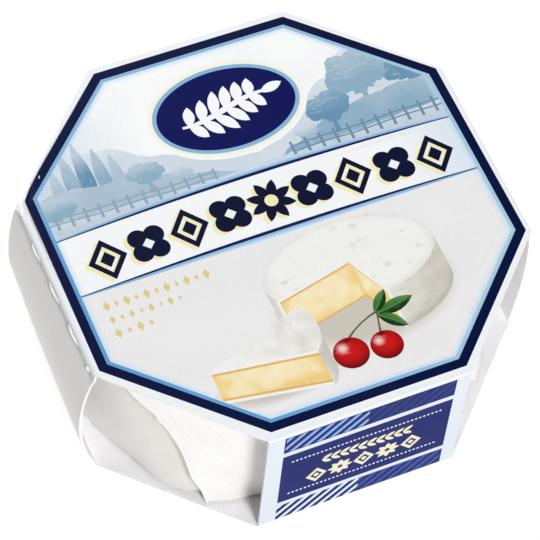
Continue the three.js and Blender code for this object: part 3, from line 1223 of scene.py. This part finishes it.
def shell_mesh(name, shell, thick, materials):
    """Gives the shell its thickness: outer face, inner face and cut edges."""
    count = len(shell.points)
    outer = [p + settle(p) for p in shell.points]
    inner = [p - n.normalized() * thick for p, n in zip(outer, shell.normals)]
    edges = dict.fromkeys(edge for face in shell.faces for edge in zip(face, face[1:] + face[:1]))
    rim = [(b, a) for a, b in edges if (b, a) not in edges]
    faces = list(shell.faces)
    faces += [tuple(i + count for i in reversed(face)) for face in shell.faces]
    faces += [(a, b, b + count, a + count) for a, b in rim]
    mesh = bpy.data.meshes.new(name)
    mesh.from_pydata([tuple(p * MM) for p in outer + inner], [], faces)
    kinds = [0] * len(shell.faces) + [1] * len(shell.faces) + [2] * len(rim)
    mesh.polygons.foreach_set("material_index", kinds)
    ink = mesh.color_attributes.new("ink", "FLOAT_COLOR", "CORNER")
    values = []
    for face, colours in zip(shell.faces, shell.colours):
        for k in range(len(face)):
            values.extend((*(colours[k] if colours else BOARD_WHITE), 1.0))
    rest = len(mesh.loops) - len(values) // 4
    values.extend((*WHITE, 1.0) * rest)
    ink.data.foreach_set("color", values)
    for material in materials:
        mesh.materials.append(material)
    mesh.shade_smooth()
    mesh.set_sharp_from_angle(angle=BOARD_SHARP)
    return new_object(name, mesh)


# Materials.
class Nodes:
    """Small helper that adds nodes to a material and links them."""

    def __init__(self, name):
        self.material = bpy.data.materials.new(name)
        self.material.use_nodes = True
        self.tree = self.material.node_tree
        self.shader = self.tree.nodes["Principled BSDF"]

    def add(self, kind, inputs=None, **settings):
        node = self.tree.nodes.new(kind)
        for key, value in settings.items():
            setattr(node, key, value)
        for key, value in (inputs or {}).items():
            if isinstance(value, bpy.types.NodeSocket):
                self.tree.links.new(value, node.inputs[key])
            else:
                node.inputs[key].default_value = value
        return node

    def feed(self, socket, value):
        self.tree.links.new(value, self.shader.inputs[socket])

    def set(self, socket, value):
        self.shader.inputs[socket].default_value = value

    def plain(self, *colour):
        """One 8-bit sRGB colour as a node."""
        node = self.add("ShaderNodeRGB")
        node.outputs[0].default_value = (*rgb(*colour), 1)
        return node.outputs[0]

    def stored(self, name):
        """The colours that the mesh holds under a name."""
        settings = {"attribute_name": name, "attribute_type": "GEOMETRY"}
        return self.add("ShaderNodeAttribute", **settings).outputs["Color"]

    def times(self, a, b):
        return self.add("ShaderNodeVectorMath", {0: a, 1: b}, operation="MULTIPLY").outputs["Vector"]

    def noise(self, scale, detail=2.0):
        place = self.add("ShaderNodeTexCoord").outputs["Object"]
        inputs = {"Vector": place, "Scale": scale, "Detail": detail}
        return self.add("ShaderNodeTexNoise", inputs).outputs["Fac"]

    def ramp(self, value, low, high, start=0.3, end=0.7):
        """A number from low to high as value goes from start to end."""
        inputs = {"Value": value, "From Min": start, "From Max": end, "To Min": low, "To Max": high}
        return self.add("ShaderNodeMapRange", inputs).outputs["Result"]

    def bump(self, height, distance, strength=1.0, normal=None):
        inputs = {"Height": height, "Distance": distance, "Strength": strength}
        if normal:
            inputs["Normal"] = normal
        return self.add("ShaderNodeBump", inputs).outputs["Normal"]

    def tint(self, colour, value, low, high):
        """A colour made lighter or darker by a number."""
        return self.times(colour, self.ramp(value, low, high))


def printed_board():
    """Coated board under its print: smooth, with a faint grain in ink and gloss."""
    m = Nodes("printed_board")
    fine = m.noise(2600, 3)
    broad = m.noise(90, 2)
    m.feed("Base Color", m.tint(m.stored("ink"), fine, 0.975, 1.02))
    m.feed("Roughness", m.ramp(broad, 0.38, 0.48))
    soft = m.bump(broad, 0.00012, 0.35)
    m.feed("Normal", m.bump(fine, 0.00001, 0.5, soft))
    m.set("Specular IOR Level", 0.05)
    return m.material


def inner_board():
    """The uncoated inside of the board: fibres and small flecks."""
    m = Nodes("inner_board")
    fibre = m.noise(1400, 5)
    cloud = m.noise(160, 3)
    m.feed("Base Color", m.tint(m.plain(253, 251, 254), cloud, 0.95, 1.02))
    m.feed("Roughness", m.ramp(fibre, 0.75, 0.9))
    m.feed("Normal", m.bump(fibre, 0.00003, 0.5))
    return m.material


def cut_edge():
    """The board's cut edges, a little rough."""
    m = Nodes("cut_edge")
    fibre = m.noise(3000, 4)
    m.feed("Base Color", m.tint(m.plain(244, 243, 240), fibre, 0.93, 1.03))
    m.feed("Roughness", m.ramp(fibre, 0.8, 0.95))
    m.feed("Normal", m.bump(fibre, 0.00004, 0.6))
    return m.material


def wrapping_paper():
    """Waxed white paper: small crumples in the sheen and thin cloudy fibres."""
    m = Nodes("wrapping_paper")
    cloud = m.noise(220, 4)
    crumple = m.noise(420, 5)
    fine = m.noise(2400, 3)
    # The layers colours hold greyer single layers and painted shade beside the free edges.
    toned = m.times(m.plain(248, 247, 243), m.stored("layers"))
    m.feed("Base Color", m.tint(toned, cloud, 0.965, 1.015))
    m.feed("Roughness", m.ramp(crumple, 0.42, 0.62))
    soft = m.bump(crumple, 0.00018, 0.4)
    m.feed("Normal", m.bump(fine, 0.00002, 0.4, soft))
    m.set("Specular IOR Level", 0.5)
    m.set("Sheen Weight", 0.12)
    return m.material


# The paper round the cheese, pleat by pleat as in the solid.
GAP = 0.3
CHEESE_RADIUS = 43.7
TOP_ROUNDING = 3.0
BARREL = 0.15
PLEAT_COUNT = 13
FIRST_PLEAT = radians(233)
PLEAT_LEAN = radians(0.45)
PLEAT_CURL = radians(0.012)
PLEAT_RISE = 0.55
PRESSED = 0.35
PLEAT_JITTER = 0.22
PLEAT_SEED = 7
EDGE_WIDTH = radians(0.5)
FLARE_FRONT_LEFT = 2.3
BELLY_FRONT_LEFT = 1.9
FLARE_ELSEWHERE = 0.9
BELLY_ELSEWHERE = 0.8
FLARE_SPREAD = radians(7)
BELLY_SPREAD = radians(9)
BELLY_BACK = radians(8.6)
SKIRT_HEIGHT = 24
SKIRT_CURVE = 1.3
COLUMNS = 46
WALL_ROWS = 60
ROUNDING_ROWS = 8

# The free edge in the front left window: high up it veers back, the hem before its
# tip is lifted, and the foot past its tip draws in. The pleat before it lies flat.
VEER = radians(6.5)
VEER_FROM = 25
VEER_TO = 28.5
VEER_REACH = 16
SWAY = radians(3.8)
SWAY_HEIGHT = 20.5
SWAY_SPREAD = 9.5
TEAR = radians(1.1)
TEAR_HEIGHT = 23.5
PROUD = 1.1
FLAT_FROM = 26
FLAT_TO = 29.5
# Colour factor for paper in one layer, which also carries painted shade beside the free edges.
ONE_LAYER_AND_SHADE = (0.84, 0.825, 0.79)
HEM_CLEAR = 0.4
HEM_LIFT = 1.0
HEM_IN = 5.0
FOOT_TUCK = 1.5
SMOOTH_RISE = 0.1


def window_share(angle):
    return max(0.0, -cos(4 * angle))


def pleat_edges():
    state = PLEAT_SEED

    def draw():
        nonlocal state
        state = (state * 16807) % 2147483647
        return state / 2147483647

    spacing = 2 * pi / PLEAT_COUNT
    pleats = []
    for i in range(PLEAT_COUNT):
        shift = 0 if i == 0 else (draw() - 0.5) * 2 * PLEAT_JITTER * spacing
        start = FIRST_PLEAT + i * spacing + shift
        flare = FLARE_FRONT_LEFT if i == 0 else FLARE_ELSEWHERE * window_share(start)
        pleats.append({"start": start, "flare": flare, "rise": PLEAT_RISE * (0.7 + 0.3 * draw())})
    for i, pleat in enumerate(pleats):
        last = i == PLEAT_COUNT - 1
        pleat["end"] = pleats[0]["start"] + 2 * pi if last else pleats[i + 1]["start"]
        belly = BELLY_ELSEWHERE * window_share(pleat["end"] - BELLY_BACK)
        pleat["belly"] = BELLY_FRONT_LEFT if last else belly
        pleat["number"] = i
    pleats[-1]["rise"] = SMOOTH_RISE
    pleats[-1]["flare"] = 0
    return pleats


def angle_from(angle, start):
    """An angle's distance in degrees from another, from -180 to 180."""
    return (degrees(angle - start) + 180) % 360 - 180


def pleat_height(pleat, past, z):
    width = pleat["end"] - pleat["start"]
    freedom = lerp(PRESSED, 1, window_share(pleat["start"] + past))
    fade = 1 - smooth(FLAT_FROM, FLAT_TO, z) if pleat["number"] == 0 else 1
    fold = freedom * pleat["rise"] * (1 - past / width) * fade
    from_belly = (width - past - BELLY_BACK) / BELLY_SPREAD
    flare = pleat["flare"] * exp(-past / FLARE_SPREAD)
    belly = pleat["belly"] * exp(-from_belly * from_belly)
    lower = max(0.0, 1 - z / SKIRT_HEIGHT) ** SKIRT_CURVE
    proud = PROUD * smooth(4, 10, z) * exp(-past / FLARE_SPREAD) if pleat["number"] == 0 else 0
    return fold + lower * (flare + belly) + proud * fade


def lean_at(base, z):
    """How far the paper above a point of the foot has turned back at a height."""
    near = exp(-(angle_from(base, FIRST_PLEAT) / VEER_REACH) ** 2)
    veer = VEER * smooth(VEER_FROM, VEER_TO, z) * near
    sway = SWAY * exp(-((z - SWAY_HEIGHT) / SWAY_SPREAD) ** 2) * near
    at_edge = abs(angle_from(base, FIRST_PLEAT)) < 0.1
    tear = TEAR * exp(-((z - TEAR_HEIGHT) / 0.4) ** 2) if at_edge else 0
    return PLEAT_LEAN * z + PLEAT_CURL * z * z + veer - sway + tear


def hem_lift(base):
    """How far the paper's lower edge stands clear of the bottom board."""
    before = angle_from(base, FIRST_PLEAT)
    uneven = HEM_CLEAR * (1 + 0.6 * mottle(degrees(base), 0, 9, 3.3))
    clear = uneven if abs(before + 1) > 1 else 0
    return clear + (HEM_LIFT * smooth(-7.5, -1.0, before) if before < -0.1 else 0.0)


def foot_tuck(base, z):
    """How far the foot draws in towards the front panel's end."""
    before = angle_from(base, FIRST_PLEAT)
    share = smooth(4, 14, before) * (1 - smooth(22, 40, before))
    return FOOT_TUCK * share * (1 - smooth(0, 12, z))


def crumple(angle, z, seed):
    """Shallow creases in the paper, in millimetres."""
    x = angle * CHEESE_RADIUS
    run = Vector((x / 9 + z / 15, z / 30 - x / 60, seed))
    broad = noise.noise(run)
    crease = 1 - abs(noise.noise(Vector((x / 5 + z / 7, z / 16, seed + 5))) * 2)
    return 0.24 * broad + 0.15 * max(0.0, crease) ** 6


def layer_and_shade_tone(pleat, past):
    """Paper that lies in one layer is a little greyer, and painted shade darkens it towards the free
    edge over it, the front left window's left sheet most.
    """
    share = past / (pleat["end"] - pleat["start"])
    before_last = PLEAT_COUNT - 2
    if pleat["number"] > before_last:
        grey = lerp(0.45, 1, smooth(0.45, 1, share))
    elif pleat["number"] == before_last:
        grey = 0.45 * smooth(0.3, 1, share)
    else:
        grey = 0.25 * smooth(0.4, 1, share)
    return mix((1, 1, 1), ONE_LAYER_AND_SHADE, grey)


def paper_mesh(material):
    """The paper as one closed skin: rings of points from the foot up, pleat after pleat."""
    pleats = pleat_edges()
    low = BOARD + GAP
    high = HEIGHT - BOARD - GAP
    wall_high = high - TOP_ROUNDING
    rings = [(CHEESE_RADIUS - HEM_IN, 0.0, 0.0), (CHEESE_RADIUS - HEM_IN, 0.0, 1.0)]
    for i in range(WALL_ROWS + 1):
        t = i / WALL_ROWS
        rings.append((CHEESE_RADIUS + BARREL * sin(pi * t), t, 1.0))
    for i in range(1, ROUNDING_ROWS + 1):
        turn = pi / 2 * i / ROUNDING_ROWS
        radius = CHEESE_RADIUS - TOP_ROUNDING * (1 - cos(turn))
        rise = 1 + TOP_ROUNDING * sin(turn) / (wall_high - low)
        rings.append((radius, rise, cos(turn)))
    columns = []
    for pleat in pleats:
        width = pleat["end"] - EDGE_WIDTH - pleat["start"]
        for i in range(COLUMNS + 1):
            columns.append((pleat, width * i / COLUMNS))
    points, tones = [], []
    for row, (radius, rise, relief) in enumerate(rings):
        for pleat, past in columns:
            tones.extend((*layer_and_shade_tone(pleat, past), 1.0))
            base = pleat["start"] + past
            hem = low + (hem_lift(base) if row > 0 else 0)
            z = lerp(hem, wall_high, rise) if rise <= 1 else low + rise * (wall_high - low)
            angle = base - lean_at(base, z)
            reach = radius + relief * pleat_height(pleat, past, z)
            reach -= foot_tuck(base, z)
            reach += relief * window_share(angle) * crumple(angle, z, pleat["number"])
            points.append((reach * cos(angle), reach * sin(angle), z))
    around = len(columns)
    faces = []
    for row in range(len(rings) - 1):
        for i in range(around):
            j = (i + 1) % around
            a, b = row * around, (row + 1) * around
            faces.append((a + i, a + j, b + j, b + i))
    foot, head = len(points), len(points) + 1
    points += [(0, 0, low), (0, 0, high)]
    tones.extend((1.0,) * 8)
    last = (len(rings) - 1) * around
    for i in range(around):
        j = (i + 1) % around
        faces.append((foot, j, i))
        faces.append((head, last + i, last + j))
    mesh = bpy.data.meshes.new("cheese_paper")
    mesh.from_pydata([tuple(c * MM for c in p) for p in points], [], faces)
    # The layers colours: greyer single layers, with painted shade beside the free edges.
    mesh.color_attributes.new("layers", "FLOAT_COLOR", "POINT").data.foreach_set("color", tones)
    mesh.materials.append(material)
    mesh.shade_smooth()
    mesh.set_sharp_from_angle(angle=PAPER_SHARP)
    return new_object("cheese_paper", mesh)


# The floor's half side in metres.
FLOOR_HALF = 3.0


def make_floor():
    """A pale floor that glows, so that shadows on it stay faint."""
    m = Nodes("pale_floor")
    m.feed("Base Color", m.tint(m.plain(188, 188, 189), m.noise(6, 2), 0.99, 1.0))
    m.set("Roughness", 0.9)
    m.set("Specular IOR Level", 0.1)
    m.set("Emission Color", (1, 1, 1, 1))
    m.set("Emission Strength", 0.71)
    corners = rectangle(-FLOOR_HALF, -FLOOR_HALF, FLOOR_HALF, FLOOR_HALF)
    mesh = bpy.data.meshes.new("floor")
    mesh.from_pydata([(x, y, 0) for x, y in corners], [], [(0, 1, 2, 3)])
    mesh.materials.append(m.material)
    new_object("floor", mesh)


def area_light(name, power, size, place, aim):
    """A square light, with its size, place and aim in metres."""
    data = bpy.data.lights.new(name, "AREA")
    data.shape = "SQUARE"
    data.size = size
    data.energy = power
    light = new_object(name, data)
    light.location = place
    light.rotation_euler = (Vector(aim) - Vector(place)).to_track_quat("-Z", "Y").to_euler()


def make_light():
    """A soft light from the front and above, a broader one from the back, and a faint surrounding."""
    world = bpy.data.worlds.new("studio")
    world.use_nodes = True
    background = world.node_tree.nodes["Background"]
    background.inputs["Color"].default_value = (0.96, 0.98, 1, 1)
    background.inputs["Strength"].default_value = 0.04
    bpy.context.scene.world = world
    area_light("key", power=11.0, size=0.3, place=(0.0, -0.94, 0.84), aim=(0, 0, 0.01))
    area_light("back", power=12.4, size=0.7, place=(0.02, 0.98, 0.78), aim=(0, 0, 0))
    view = bpy.context.scene.view_settings
    view.view_transform = "Standard"
    view.look = "None"
    view.exposure = 0.0


board_materials = [printed_board(), inner_board(), cut_edge()]
carton = shell_mesh("carton_board", carton_shell(), BOARD, board_materials)
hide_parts("carton")
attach(carton, "root")

paper = paper_mesh(wrapping_paper())
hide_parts("wrapped_cheese")
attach(paper, "root")

make_floor()
make_light()
